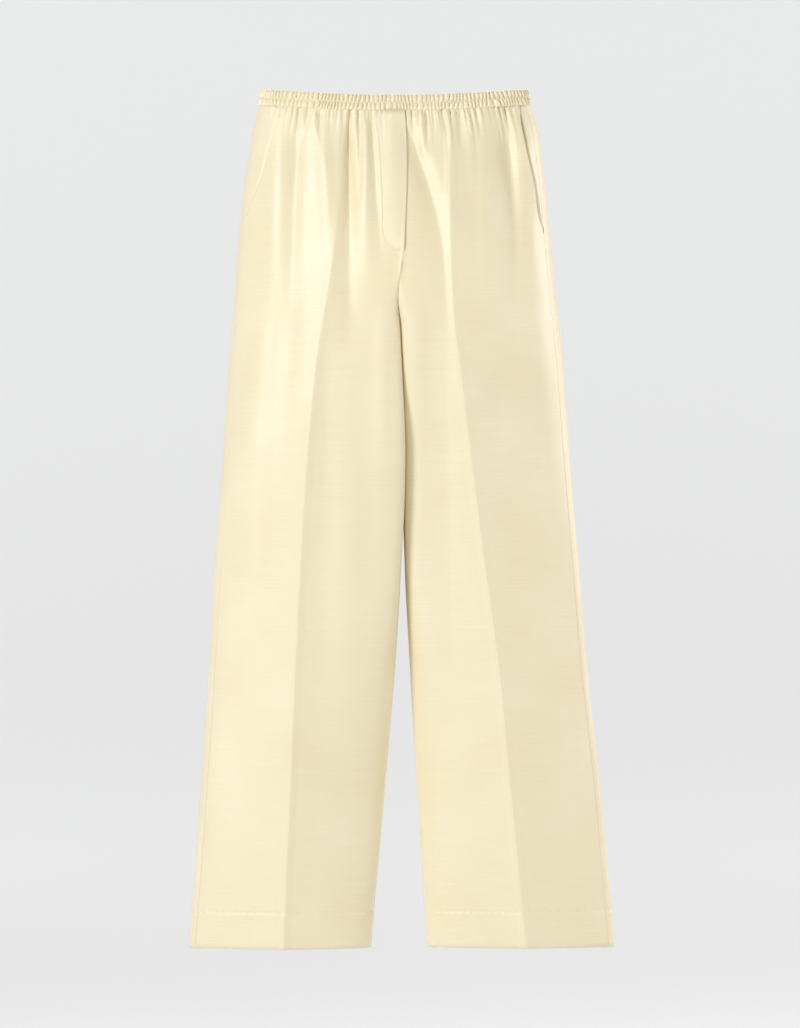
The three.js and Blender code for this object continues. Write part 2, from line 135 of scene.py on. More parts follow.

# %% [markdown]
# ## Folds, gathers and creases
# Cloth under an elastic waistband falls in a few large folds and many short gathers. A cloth simulation
# would place them at random, so the large ones are listed one by one: each is a line down the cloth with a
# width and a height, positive for a ridge and negative for a trough. Short gathers are waves that fade.

# %% Tables of the laid folds
FRONT_FOLDS = [
    # x, drop, x and drop at its end, width, width at its end, height, bow, lean to one side
    (-150, 14, -160, 430, 10, 20, 5.0, 0, 0),
    (-123, 14, -136, 470, 8, 18, -6.5, -3, -0.2),
    (-100, 14, -84, 320, 9, 12, 5.5, 4, 0),
    (-101, 14, -97, 78, 4, 5, -5.5, 0, 0.2),
    (-64, 14, -61, 340, 4.4, 15, -13.0, 0, 0.1),
    (-50, 14, -49, 150, 3, 5, -4.0, 0, 0),
    (-43, 14, -40, 260, 4, 10, 3.8, 0, 0),
    (-36, 14, -22, 230, 3, 7, -4.2, 0, 0),
    (-12, 14, -10, 180, 8, 9, 1.4, 0, 0),
    (4, 20, 58, 370, 9, 19, -8.6, 20, -0.15),
    (26, 14, 30, 110, 4, 6, 3.2, 0, 0),
    (34, 14, 34, 72, 3, 4, -3.4, 0, 0),
    (72, 14, 77, 76, 3, 4, -3.6, 0, 0.2),
    (84, 14, 92, 130, 4, 7, 2.6, 0, 0),
    (104, 14, 114, 420, 9, 18, 3.4, 0, 0),
    (130, 14, 145, 370, 11, 20, -12.5, 4, -0.3),
    (156, 50, 170, 270, 7, 9, 3.0, 0, 0),
    (-148, 230, -162, 720, 14, 22, -3.4, 0, 0.2),
    (-176, 260, -190, 800, 16, 20, 2.6, 0, 0),
    (-88, 300, -98, 700, 12, 20, -2.6, 0, 0),
    (-18, 250, -22, 620, 12, 14, 3.0, 0, 0),
    (-60, 420, -70, 900, 18, 22, 2.4, 0, 0),
    (20, 250, 24, 640, 12, 12, 3.0, 0, 0),
    (54, 260, 68, 940, 14, 22, -3.6, 0, -0.2),
    (118, 330, 150, 700, 22, 26, -3.2, 0, 0),
    (172, 250, 196, 760, 14, 22, 3.2, 0, 0),
    (206, 640, 218, 1050, 16, 20, -2.4, 0, 0),
]
BACK_FOLDS = [
    (-150, 14, -158, 390, 10, 20, 5.5, 0, 0),
    (-122, 14, -132, 340, 7, 15, -8.0, 4, 0.3),
    (-98, 14, -90, 210, 4, 9, 4.2, 0, 0),
    (-70, 14, -84, 330, 8, 15, -7.0, 3, -0.4),
    (-44, 14, -38, 260, 5, 11, 5.0, 0, 0),
    (-18, 14, -22, 150, 4, 7, -4.4, 0, 0),
    (26, 14, 22, 190, 5, 9, 4.6, 0, 0),
    (48, 14, 58, 330, 7, 14, -7.5, -4, 0.4),
    (76, 14, 82, 240, 5, 10, 4.8, 0, 0),
    (104, 14, 118, 400, 9, 17, -6.0, 0, 0.2),
    (134, 14, 148, 370, 8, 15, 6.0, 3, 0),
    (-160, 260, -172, 760, 16, 24, -3.2, 0, 0),
    (-66, 330, -84, 820, 18, 24, 2.8, 0, 0),
    (58, 300, 74, 800, 16, 24, -3.2, 0, 0),
    (150, 280, 178, 860, 18, 26, 3.0, 0, 0),
]
SIDE_FOLDS = [
    # turn, drop, turn and drop at its end, width, height
    (2.16, 14, 2.2, 330, 0.06, 3.0),
    (2.3, 14, 2.36, 300, 0.05, -3.4),
    (2.44, 14, 2.5, 420, 0.07, 3.2),
    (2.26, 240, 2.34, 800, 0.14, -2.6),
    (2.5, 330, 2.42, 900, 0.14, 2.2),
]
WANDER, WANDER_LENGTH = 1.6, 41  # how far the line of a fold wanders aside, and how often
SIDE_WANDER, SIDE_WANDER_LENGTH = 0.02, 47
RIDGE_POWER, TROUGH_POWER = 2, 1.6  # a ridge is rounder than a trough
HEIGHT_AT_BAND = 0.3  # the share of its height with which a fold leaves the waistband
print("folds laid:", len(FRONT_FOLDS), "in front,", len(BACK_FOLDS), "behind,", len(SIDE_FOLDS), "a side")


def fold_height(x, drop, front):
    """Sum of the laid folds: a bell across each line, wider on the side that it leans to, which rises
    soon and fades slowly along it."""
    total = np.zeros(np.broadcast(x, drop).shape)
    for x1, d1, x2, d2, w1, w2, height, bow, lean in FRONT_FOLDS if front else BACK_FOLDS:
        t = np.clip((drop - d1) / (d2 - d1), 0, 1)
        line = mix(x1, x2, t) + bow * np.sin(np.pi * t) + WANDER * np.sin(drop / WANDER_LENGTH + x1) * t
        across = (x - line) / (mix(w1, w2, t) * (1 + lean * np.sign(x - line)))
        shape = np.exp(-np.abs(across) ** (RIDGE_POWER if height > 0 else TROUGH_POWER))
        start = HEIGHT_AT_BAND if d1 < BAND_HEIGHT else 0
        total += height * shape * mix(start, 1, smooth(6 * t)) * (1 - t**1.5) * (1 - t**6)
    return total


def side_fold_height(turn, drop):
    """The same across the side, where a fold stands out sideways and its place is a turn."""
    total = np.zeros(np.broadcast(turn, drop).shape)
    for t1, d1, t2, d2, width, height in SIDE_FOLDS:
        t = np.clip((drop - d1) / (d2 - d1), 0, 1)
        line = mix(t1, t2, t) + SIDE_WANDER * np.sin(drop / SIDE_WANDER_LENGTH + 9 * t1) * t
        total += height * np.exp(-((turn - line) / width) ** 2) * smooth(6 * t) * (1 - t**2)
    return total


# %% Short gathers under the waistband
GATHERS, GATHER_HEIGHT = 20, 3.0  # on each half, front or back
GATHER_LENGTH, LENGTH_BY_SIZE, LENGTH_BY_PLACE = 30, 26, 16  # a large gather is longer than a small one
FINE_GATHERS, FINE_HEIGHT = 41, 2.8
FINE_LENGTH, FINE_UNEVEN = 23, 10
FLY_SHARE, POCKET_SHARE = 0.17, 0.84  # of a front's width, from the centre
GATHERS_LEFT_ON_FLY, GATHERS_LEFT_AT_POCKET = 0.5, 0.15
FLY_RISE, FLY_RISE_LENGTH = 1.6, 7  # the front is lifted under the top of the fly


def gather_height(x, drop, leg, front):
    """Waves of uneven pitch, length and height that hang from the waistband: the phase drifts, the
    crests are rounder than the troughs, and each wave fades where its own length ends."""
    inner, out = level("inner" + leg, drop), level("out" + leg, drop)
    u = (x - inner) / (out - inner)
    seed = SIDE[leg] * 1.7 + (0 if front else 4.1)
    phase = GATHERS * u + 0.55 * np.sin(8.3 * u + seed) + 0.3 * np.sin(21 * u + 2 * seed)
    wave = np.abs(np.cos(np.pi * phase)) ** 1.3 * 2 - 1
    uneven = 0.6 + 0.4 * np.sin(5.1 * np.floor(phase + 0.5) + seed)
    length = GATHER_LENGTH + LENGTH_BY_SIZE * uneven + LENGTH_BY_PLACE * np.sin(9.7 * np.floor(phase + 0.5))
    under_band = drop - BAND_HEIGHT
    fade = np.clip(1 - under_band / length, 0, 1) ** 1.7
    fine = np.abs(np.sin(np.pi * (FINE_GATHERS * u + 0.4 * np.sin(13 * u + seed)))) ** 0.7 - 0.6
    fine_length = FINE_LENGTH + FINE_UNEVEN * np.sin(29 * u + seed)
    fine_fade = np.clip(1 - under_band / fine_length, 0, 1) ** 1.2
    kept = mix(1, GATHERS_LEFT_AT_POCKET, smooth((u - POCKET_SHARE) / 0.1)) * smooth((u - 0.01) / 0.03)
    total = kept * (GATHER_HEIGHT * wave * uneven * fade + FINE_HEIGHT * fine * fine_fade)
    if not (front and leg == "R"):
        return total
    total = total * mix(GATHERS_LEFT_ON_FLY, 1, smooth((u - FLY_SHARE - 0.02) / 0.04))
    over_fly = 1 - smooth((u - FLY_SHARE) / 0.05)
    return total + FLY_RISE * over_fly * np.exp(-(under_band / FLY_RISE_LENGTH) ** 2)


# %% Pressed creases and the slow unevenness of hanging cloth
FRONT_CREASES = {"R": (60, 200), "L": (18, 60)}  # where a crease starts, and where it is full
BACK_CREASE = (120, 240)
NARROW_TENT, BROAD_TENT = (1.3, 9), (3.3, 36)  # height and half the width
SWAY_HEIGHT, SWAY_STARTS = 0.45, (60, 200)
HELD_AT_BAND = 0.6  # the share of the relief that the waistband leaves to the cloth at its edge
FREE_FROM_BAND = (BAND_HEIGHT, 6)


def crease_height(x, drop, leg, front):
    """A pressed edge: a narrow tent on a broad one. On the wearer's right front it starts at the hip."""
    start, full = FRONT_CREASES[leg] if front else BACK_CREASE
    share = ramp(drop, start, full - start)
    off = np.abs(x - level("crease" + leg, drop))
    narrow = NARROW_TENT[0] * np.clip(1 - off / NARROW_TENT[1], 0, 1)
    broad = BROAD_TENT[0] * np.clip(1 - off / BROAD_TENT[1], 0, 1) ** 1.5
    return share * (narrow + broad)


def sway(x, drop, leg, front):
    """Slow unevenness: three long waves that cross each other, under a millimetre high."""
    seed = SIDE[leg] + (0 if front else 2.3)
    slow = (np.sin(x / 31 + drop / 140 + seed) + np.sin(x / 19 - drop / 97 + 2.1 * seed)
            + np.sin(drop / 61 + x / 70 + 3.7 * seed))
    return SWAY_HEIGHT * slow * ramp(drop, *SWAY_STARTS)


def relief(x, drop, leg, front):
    """All of the cloth's own form, outwards from the garment's smooth section."""
    held = mix(HELD_AT_BAND, 1, ramp(drop, *FREE_FROM_BAND))
    return (held * (fold_height(x, drop, front) + gather_height(x, drop, leg, front))
            + crease_height(x, drop, leg, front) + sway(x, drop, leg, front))


# %% [markdown]
# ## A point of the cloth
# One half of the garment is walked round by a turn: 0 at the centre front or the inside of the leg, 1 at
# the front crease, 2 at the side, 3 at the back crease and 4 at the centre back. The turn and the drop
# give a point, so panels, facings and stitches all lie on one surface.

# %% The cloth's surface
def parted(drop):
    """How far the legs have parted at the rise: 0 in the seat, and 1 below the crotch."""
    return np.clip((drop - CROTCH_DROP + RISE_TURN) / RISE_TURN, 0, 1) ** 3


def seat_round(distance, half):
    """Depth of the seat's section at a distance from its middle, as a share of its full depth."""
    u = np.clip(np.abs(distance) / half, 0, 1)
    return (1 - u**SEAT_POWER) ** (1 / SEAT_POWER)


def dip(x, drop, front):
    """The top edge hangs lower between the sides."""
    left, right = level("outL", drop), level("outR", drop)
    u = np.clip(np.abs(x - (left + right) / 2) / ((left - right) / 2), 0, 1)
    return np.where(front, DIP_FRONT, DIP_BACK) * (1 - u * u)


def cloth(leg, turn, drop, folded=True):
    """Points of the cloth's outside. Across a quarter, x runs as a cosine from the crease to the edge.
    The depth is a rounded section in the seat and an almond in each leg, and relief is added to it."""
    turn, drop = np.broadcast_arrays(np.asarray(turn, float), np.asarray(drop, float))
    wrapped = np.where(turn > 4, turn - 4, turn)
    front = wrapped < 2
    outer = (wrapped >= 1) & (wrapped < 3)
    crease = level("crease" + leg, drop)
    pressed = LEGS_PRESSED * ramp(drop, *PRESSED_FROM) * (1 - ramp(drop, *PRESSED_TO))
    bend = np.where(front, LINE_BEND, 0) * np.exp(-((drop - LINE_BEND_DROP) / LINE_BEND_LENGTH) ** 2)
    inner_end = level("inner" + leg, drop) + SIDE[leg] * (SEAM_GAP / 2 - pressed) + bend
    end = np.where(outer, level("out" + leg, drop), inner_end)
    angle = np.abs(np.where(outer, 2 - wrapped, np.where(front, wrapped, 4 - wrapped))) * np.pi / 2
    across, up = np.cos(angle), np.sin(angle)
    x = crease + (end - crease) * across
    way = np.where(front, -1, 1)

    side_y = SIDE_BACKWARD * ramp(drop, *SIDE_GOES_BACK) * (1 - ramp(drop, *SIDE_COMES_FORWARD))
    sharp = mix(SHARP_SEAT, SHARP_LEG, ramp(drop, *LEG_SHARPENS))
    lower = ramp(drop, *INNER_CHANGES)
    power = mix(*INNER_POWER, lower)
    full = (1 - across**power) ** (1 / power)
    inner_sharp = sharp * mix(*INNER_SHARP, lower)
    lens = np.where(outer, mix(up, 1 - across, sharp), mix(full, 1 - across, inner_sharp))
    depth = way * np.where(front, level("front", drop), level("back", drop))
    half = (level("outL", drop) - level("outR", drop)) / 2
    middle = (level("outL", drop) + level("outR", drop)) / 2
    seat_y = side_y + (depth - side_y) * seat_round(x - middle, half) / seat_round(SEAT_CREASE, half)
    stride = STRIDE[leg] * ramp(drop, *STRIDE_GROWS)
    base = np.where(outer, side_y, CROTCH_Y)
    leg_y = base + (depth - base) * lens + stride
    wide = ramp(drop, *SEAT_TO_LEG)
    leg_share = np.where(outer, wide, mix(wide, parted(drop), across**PARTING_POWER))
    y = mix(seat_y, leg_y, leg_share)
    if folded:
        out = np.where(front, relief(x, drop, leg, True), relief(x, drop, leg, False))
        rounding = np.minimum(1, up * 1.6)
        y = y + way * out * np.where(outer, rounding, mix(1, rounding, leg_share))
        x = x + SIDE[leg] * side_fold_height(wrapped, drop) * np.where(outer, across, 0) ** 2
    z = -drop - dip(x, drop, front) * (1 - ramp(drop, BAND_HEIGHT, DIP_FADES))
    return np.stack([x, y, z], axis=-1)


def outward(leg, turn, drop, folded=True):
    """Unit direction out of the cloth, from the surface a little further round and further down."""
    step = 0.012
    turn, drop = np.broadcast_arrays(np.asarray(turn, float), np.asarray(drop, float))
    onward = cloth(leg, turn + step, drop, folded) - cloth(leg, np.maximum(turn - step, 0), drop, folded)
    down = cloth(leg, turn, np.minimum(drop + 1, OUTSEAM), folded) - cloth(leg, turn, drop - 1, folded)
    normal = np.cross(onward, down) * -SIDE[leg]
    from_centre = np.minimum(turn, np.abs(4 - turn))
    normal[..., 0] *= np.where(from_centre < step, parted(drop), 1)
    return normal / np.linalg.norm(normal, axis=-1, keepdims=True)


def on_cloth(leg, turn, drop, out, folded=True):
    """Points at a distance out of the cloth; a negative one is inside."""
    return cloth(leg, turn, drop, folded) + outward(leg, turn, drop, folded) * np.asarray(out)[..., None]


print("a point of the front crease:", np.round(cloth("L", 1.0, 500.0), 1))

# %% [markdown]
# ## Satin
# The cloth is a heavy satin of a cotton or viscose kind: long floats on the face give a soft broad sheen,
# and slightly uneven weft threads show as fine crosswise streaks. It could be one flat colour with a
# velvet-like sheen; here the threads tint and lift the surface instead, on each piece's own UV map in
# metres, so that they follow the cloth round every fold.

# %% Colours, and one helper that adds a node
def linear(hex_colour):
    """sRGB hex to linear RGBA."""
    parts = [int(hex_colour[i:i + 2], 16) / 255 for i in (1, 3, 5)]
    return [c / 12.92 if c <= 0.04045 else ((c + 0.055) / 1.055) ** 2.4 for c in parts] + [1]


def add_node(tree, kind, links=(), **settings):
    """Adds a shader node, sets its properties or input values, and links inputs to other outputs."""
    node = tree.nodes.new(kind)
    for key, value in settings.items():
        if key in node.inputs:
            node.inputs[key].default_value = value
        else:
            setattr(node, key, value)
    for socket, source in dict(links).items():
        tree.links.new(source, node.inputs[socket])
    return node


# %% Woven satin
THREAD = 0.55 * MM  # real threads lie about 0.15 mm apart; drawn coarser so that they show
SLUB = 1.6 * MM  # height of an uneven weft thread's streak
SLUB_LENGTH = 60 * MM
BUMP = 0.16


def woven(name, face, shade, roughness):
    """Cloth on UV in metres: weft streaks tint and lift it, fine threads give it a grain."""
    material = bpy.data.materials.new(name)
    material.use_nodes = True
    tree = material.node_tree
    shader = tree.nodes["Principled BSDF"]
    uv = add_node(tree, "ShaderNodeUVMap", uv_map="cloth").outputs["UV"]
    streak_space = add_node(tree, "ShaderNodeMapping", {"Vector": uv},
                            Scale=(1 / SLUB_LENGTH, 1 / SLUB, 1)).outputs["Vector"]
    streaks = add_node(tree, "ShaderNodeTexNoise", {"Vector": streak_space},
                       Scale=1, Detail=3, Roughness=0.6).outputs["Fac"]
    cloud = add_node(tree, "ShaderNodeTexNoise", {"Vector": uv}, Scale=9, Detail=2).outputs["Fac"]
    blend = add_node(tree, "ShaderNodeMath", {0: streaks, 1: cloud}, operation="ADD").outputs[0]
    tint = add_node(tree, "ShaderNodeMapRange", {"Value": blend}, **{
        "From Min": 0.7, "From Max": 1.3, "To Min": 0, "To Max": 1}).outputs["Result"]
    colour = add_node(tree, "ShaderNodeMix", {"Factor": tint}, data_type="RGBA")
    colour.inputs["A"].default_value = linear(shade)
    colour.inputs["B"].default_value = linear(face)
    tree.links.new(colour.outputs["Result"], shader.inputs["Base Color"])
    thread_space = add_node(tree, "ShaderNodeMapping", {"Vector": uv},
                            Scale=(1 / THREAD, 1 / THREAD, 1)).outputs["Vector"]
    threads = add_node(tree, "ShaderNodeTexWave", {"Vector": thread_space}, bands_direction="Y",
                       Scale=0.5, Distortion=2.5, Detail=1).outputs["Fac"]
    grain = add_node(tree, "ShaderNodeMath", {0: streaks, 1: threads, 2: threads},
                     operation="MULTIPLY_ADD").outputs[0]
    lift = add_node(tree, "ShaderNodeBump", {"Height": grain}, Strength=BUMP,
                    Distance=0.12 * MM).outputs["Normal"]
    tree.links.new(lift, shader.inputs["Normal"])
    shader.inputs["Roughness"].default_value = roughness
    shader.inputs["Specular IOR Level"].default_value = 0.9
    shader.inputs["Sheen Weight"].default_value = 0.35
    shader.inputs["Sheen Roughness"].default_value = 0.4
    return material


satin = woven("cream_satin", "#EEE4C5", "#E9DBB7", 0.45)
satin_back = woven("cream_satin_inside", "#EBDEBB", "#E6D8B0", 0.7)
print("materials:", [m.name for m in bpy.data.materials if m.name.startswith("cream")])


# %% Spun thread for the topstitching
def thread_material(name, colour):
    """Spun polyester thread: a matt, slightly darker cream, with the twist as a fine bump."""
    material = bpy.data.materials.new(name)
    material.use_nodes = True
    tree = material.node_tree
    shader = tree.nodes["Principled BSDF"]
    place = add_node(tree, "ShaderNodeTexCoord").outputs["Object"]
    twist = add_node(tree, "ShaderNodeTexNoise", {"Vector": place}, Scale=1 / (0.4 * MM), Detail=1)
    colour_mix = add_node(tree, "ShaderNodeMix", {"Factor": twist.outputs["Fac"]}, data_type="RGBA")
    colour_mix.inputs["A"].default_value = linear(colour)
    colour_mix.inputs["B"].default_value = linear("#FBF3DA")
    tree.links.new(colour_mix.outputs["Result"], shader.inputs["Base Color"])
    lift = add_node(tree, "ShaderNodeBump", {"Height": twist.outputs["Fac"]}, Strength=0.3,
                    Distance=0.1 * MM)
    tree.links.new(lift.outputs["Normal"], shader.inputs["Normal"])
    shader.inputs["Roughness"].default_value = 0.6
    return material


thread = thread_material("cream_thread", "#EADCB0")


# %% [markdown]
# ## From a grid to a sewn panel
# A cut panel isn't just its visible face: its edges are folded under and pressed open at the seams, and
# its hem is turned up inside. Here each edge of the grid carries on round a small fold and back under the
# panel, so that one sheet of cloth has its seams, its allowances and its hem, with true thickness.

# %% Grids, folds at an edge, and a mesh from them
CLOTH = 0.5  # thickness of one layer
FOLD_RADIUS = 0.45  # of cloth that is folded under
LEVEL_FROM = 2.5  # behind an edge, the folded cloth lies level from here on
SAMPLES = 90  # points at which a row's length is measured


def folded_edge(allowance):
    """Distances back from an edge, and heights, of cloth folded under: in, round a half circle, out."""
    angles = np.radians([180, 150, 120, 90, 60, 30, 0])
    back = FOLD_RADIUS * (1 - np.sin(angles))
    height = -FOLD_RADIUS * (1 - np.cos(angles))
    return (np.concatenate([[allowance, allowance * 0.5, LEVEL_FROM], back]),
            np.concatenate([[-2 * FOLD_RADIUS] * 3, height]))


def grid_object(name, points, uv, materials, closed=False, thickness=CLOTH):
    """A grid of points, rows by columns, as a mesh of quads with a UV map in metres. A closed grid joins
    its last column to its first. Solidify gives it thickness inwards."""
    rows, columns = points.shape[:2]
    index = np.arange(rows * columns).reshape(rows, columns)
    if closed:
        index = np.concatenate([index, index[:, :1]], axis=1)
    quads = np.stack([index[:-1, :-1], index[1:, :-1], index[1:, 1:], index[:-1, 1:]], -1).reshape(-1, 4)
    mesh = bpy.data.meshes.new(name)
    mesh.from_pydata((points.reshape(-1, 3) * MM).tolist(), [], quads.tolist())
    layer = mesh.uv_layers.new(name="cloth")
    corner = np.zeros(len(mesh.loops), np.int32)
    mesh.loops.foreach_get("vertex_index", corner)
    layer.data.foreach_set("uv", (uv.reshape(-1, 2)[corner] * MM).ravel())
    for material in materials:
        mesh.materials.append(material)
    mesh.shade_smooth()
    piece = bpy.data.objects.new(name, mesh)
    bpy.context.collection.objects.link(piece)
    if thickness:
        wall = piece.modifiers.new("cloth thickness", "SOLIDIFY")
        wall.thickness = thickness * MM
        wall.offset = -1
        wall.material_offset = len(materials) - 1
    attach(piece, BODY)
    return piece


def lengths_round(leg, start, end, drop):
    """For each row, turns from start to end and the cloth's length up to each of them."""
    share = np.linspace(0, 1, SAMPLES)
    turns = mix(start[:, None], end[:, None], share)
    points = cloth(leg, turns, drop[:, None], folded=False)
    steps = np.linalg.norm(np.diff(points, axis=1), axis=-1)
    return turns, np.concatenate([np.zeros((len(drop), 1)), np.cumsum(steps, axis=1)], axis=1)


def turns_at(lengths, turns, wanted):
    """The turn at each wanted length, row by row."""
    return np.stack([np.interp(w, a, t) for w, a, t in zip(wanted, lengths, turns)])


# %% Rows of a panel, from the waistband to the hem and up again inside
ROWS_TO = [(60, 34), (330, 74), (1004, 66), (1022, 15)]  # a drop, and how many rows lead to it
HEM_ROWS = 8
STITCH_PITCH, DIMPLE_SIZE, DIMPLE_DEPTH = 9, 1.8, 0.85
DOUBLED, LEDGE = 0.35, (-1, 2.5)  # the doubled cloth stands out from here on, below its stitching
GROOVE, GROOVE_SIZE = 0.12, 1.1


def panel_rows():
    """Drops and heights of the rows: fine under the waistband and at the hem's stitching, and the hem
    folded up inside the leg."""
    top = BAND_HEIGHT + 0.3
    start, parts = top + 1.2, []
    for end, rows in ROWS_TO:
        parts.append(np.linspace(start, end, rows, endpoint=False))
        start = end
    visible = np.concatenate(parts + [np.linspace(start, OUTSEAM - FOLD_RADIUS, HEM_ROWS)])
    back, height = folded_edge(HEM_DEPTH - 2)
    drops = np.concatenate([[top, top + 0.2, top + 0.6], visible, OUTSEAM - back[::-1][1:]])
    heights = np.concatenate([[-0.7, -0.25, -0.05], np.zeros(len(visible)), height[::-1][1:]])
    return drops, heights


def blind_stitches(run, drop):
    """The turned-up hem shows as doubled cloth and a row of small dimples where the thread catches it."""
    below = drop - (OUTSEAM - HEM_DEPTH)
    off = (run / STITCH_PITCH - np.round(run / STITCH_PITCH)) * STITCH_PITCH
    dimple = np.exp(-(off / DIMPLE_SIZE) ** 2) * np.exp(-(below / DIMPLE_SIZE) ** 2)
    ledge = DOUBLED * ramp(below, *LEDGE)
    return ledge - DIMPLE_DEPTH * dimple - GROOVE * np.exp(-(below / GROOVE_SIZE) ** 2)


# %% [markdown]
# ## The four panels
# Each front runs from the centre seam, or the inside of the leg, to the pocket opening and then the side
# seam. Each back wraps round the side and meets it there. Columns are spaced by the cloth's own length on
# both sides of the crease, so the crease lies on a column and stays a sharp pressed edge.

# %% Where the pocket openings and seams run
OPENINGS = {
    "R": ([0, 41, 81, 108, 150, 184], [-148, -154, -164, -171, -188, -198]),
    "L": ([0, 41, 81, 119, 150, 184], [146.5, 149.5, 156, 163.5, 168.5, 178.5]),
}
ALLOWANCE = 9
END_EASE = 24  # length over which an opening runs into the side seam
GAPE, GAPE_REACH = {"L": 3.4, "R": 0.5}, 9  # how far the mouth stands open, and how far in that shows
GAPE_OPENS, GAPE_CLOSES = (22, 50), (120, 60)
PANEL_COLUMNS = 64  # on each side of the crease


def pocket_edge(leg, drop):
    """The front's outer edge as a turn: the slanted opening, then the side seam."""
    crease, out = level("crease" + leg, drop), level("out" + leg, drop)
    x = curve_through(*OPENINGS[leg], drop)
    opening = 2 - np.arccos(np.clip((x - crease) / (out - crease), 0, 1)) / (np.pi / 2)
    near_end = ramp(drop, POCKET_DROP - END_EASE, END_EASE)
    edge = np.minimum(SIDE_SEAM, mix(opening, SIDE_SEAM, near_end))
    return np.where(drop >= POCKET_DROP, SIDE_SEAM, edge)


def inseam(drop):
    """The seam inside the leg comes round to the front lower down."""
    return INSEAM * ramp(drop, CROTCH_DROP, OUTSEAM - CROTCH_DROP)


def gape(leg, drop):
    """How far the pocket's mouth stands open: clearly on the wearer's left, hardly on the right."""
    return GAPE[leg] * ramp(drop, *GAPE_OPENS) * (1 - ramp(drop, *GAPE_CLOSES))


def panel(name, leg, front):
    """One cut panel: visible columns on both sides of the crease, a folded allowance at each long edge."""
    drops, heights = panel_rows()
    start = inseam(drops) if front else np.full(len(drops), SIDE_SEAM)
    end = pocket_edge(leg, drops) if front else 4 + inseam(drops)
    crease = np.full(len(drops), 1.0 if front else 3.0)
    back, under = folded_edge(ALLOWANCE)
    first_turns, first = lengths_round(leg, start, crease, drops)
    last_turns, last = lengths_round(leg, crease, end, drops)
    near = back + SEAM_GAP / 2
    inner_share = np.linspace(0, 1, PANEL_COLUMNS + 1)[1:]
    outer_share = inner_share[:-1]
    edge = near[-1]
    wanted_first = np.concatenate([np.broadcast_to(near, (len(drops), len(near))),
                                   edge + (first[:, -1:] - edge) * inner_share], axis=1)
    wanted_last = np.concatenate([(last[:, -1:] - edge) * outer_share,
                                  last[:, -1:] - near[::-1]], axis=1)
    turns = np.concatenate([turns_at(first, first_turns, wanted_first),
                            turns_at(last, last_turns, wanted_last)], axis=1)
    run = np.concatenate([wanted_first - first[:, -1:], wanted_last], axis=1)
    column_height = np.concatenate([under, np.zeros(len(inner_share) + len(outer_share)), under[::-1]])
    drop = np.broadcast_to(drops[:, None], turns.shape)
    out = heights[:, None] + column_height + blind_stitches(run, drop) * (heights[:, None] > -0.01)
    if front:
        from_edge = last[:, -1:] - run
        out = out + gape(leg, drop) * np.exp(-np.clip(from_edge, 0, None) / GAPE_REACH)
    points = on_cloth(leg, turns, drop, out)
    uv = np.stack([run, -drop + 0 * run], axis=-1)
    if leg == "R":
        points, uv = points[:, ::-1], uv[:, ::-1]
    piece = grid_object(name, points, uv, [satin, satin_back])
    return piece


PANELS = {
    "front_right": ("R", True), "front_left": ("L", True),
    "back_right": ("R", False), "back_left": ("L", False),
}
for node, (leg, front) in PANELS.items():
    piece = panel("cloth_" + node, leg, front)
    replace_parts(piece, node)
    print(piece.name, len(piece.data.polygons), "quads")


# %% [markdown]
# ## The waistband
# A folded strip of the satin, much longer than the waist, is gathered over a flat elastic and held by a
# line of stitching along the middle of it. That makes two rows of small upright ribs. They could be a bump
# map, but they show against the sky of the backdrop at the top edge, so they are real form: rounded
# crests with narrow valleys, uneven in pitch, height and slant, pinched where the stitching crosses.

# %% The waistband's ring
RIBS, RIB_POINTS = 148, 10
AROUND = RIBS * RIB_POINTS  # points of one ring
RIB_HEIGHT = 3.5
PUFF = 1.7  # how far each row of ribs swells over its casing
BAND_TOP, BAND_MIDDLE = -2.2, 7.2  # drops of the top edge and of the stitching
TOP_EDGE = BAND_TOP + 0.7  # where the outside turns over into the top edge
BAND_INSIDE, RUCHED_INSIDE = -2.0, 0.35  # place of the inside, and the share of the ribs that shows there
PINCH, PINCH_LENGTH = 0.75, 0.9  # the stitching holds the ribs down
EDGE_LIFT, EDGE_CALM = 0.35, 0.45  # at the lower edge the ribs lie further out and are shallower
RING_POINTS = 4001  # for the ring's length
# Waves round the waist: height, count and phase
PITCH_DRIFT = [(0.3, 9, 1), (0.13, 23, 2), (0.06, 41, 0)]
ROW_SHIFT = [(0.5, 7, 2), (0.35, 17, 0)]
LOWER_ROW, LOWER_EDGE = (BAND_MIDDLE - 1.5, 3), (BAND_HEIGHT - 4, 4.5)  # from a drop on, over a length
LEAN, LEAN_WAVES = 0.022, [(0.6, 5, 0), (1, 19, 1)]
RIB_SIZE = 0.7 + 0.5 * np.random.default_rng(11).random(RIBS)


def ring_point(angle, drop, out):
    """A point of the band at an angle round the waist: the seat's rounded section, moved outwards."""
    left, right = level("outL", drop), level("outR", drop)
    middle, half = (left + right) / 2, (left - right) / 2
    cosine, sine = np.cos(angle), np.sin(angle)
    front = sine < 0
    x = middle + half * np.sign(cosine) * np.abs(cosine) ** (2 / SEAT_POWER)
    depth = np.where(front, level("front", drop), level("back", drop)) / seat_round(SEAT_CREASE, half)
    y = depth * np.sign(sine) * np.abs(sine) ** (2 / SEAT_POWER)
    normal_x, normal_y = cosine / half, sine / depth
    size = np.hypot(normal_x, normal_y)
    z = -drop - dip(x, drop, front)
    return np.stack([x + normal_x / size * out, y + normal_y / size * out, z], axis=-1)


def even_angles(count):
    """Angles that step evenly along the ring's length, and that length."""
    angles = np.linspace(0, 2 * np.pi, RING_POINTS)
    points = ring_point(angles, np.full(RING_POINTS, BAND_MIDDLE), 0)
    lengths = np.concatenate([[0], np.cumsum(np.linalg.norm(np.diff(points, axis=0), axis=-1))])
    return np.interp(np.arange(count) / count * lengths[-1], lengths, angles), lengths[-1]


def waves(turn, table):
    """Sum of the waves in a table."""
    return sum(height * np.sin(count * turn + phase) for height, count, phase in table)


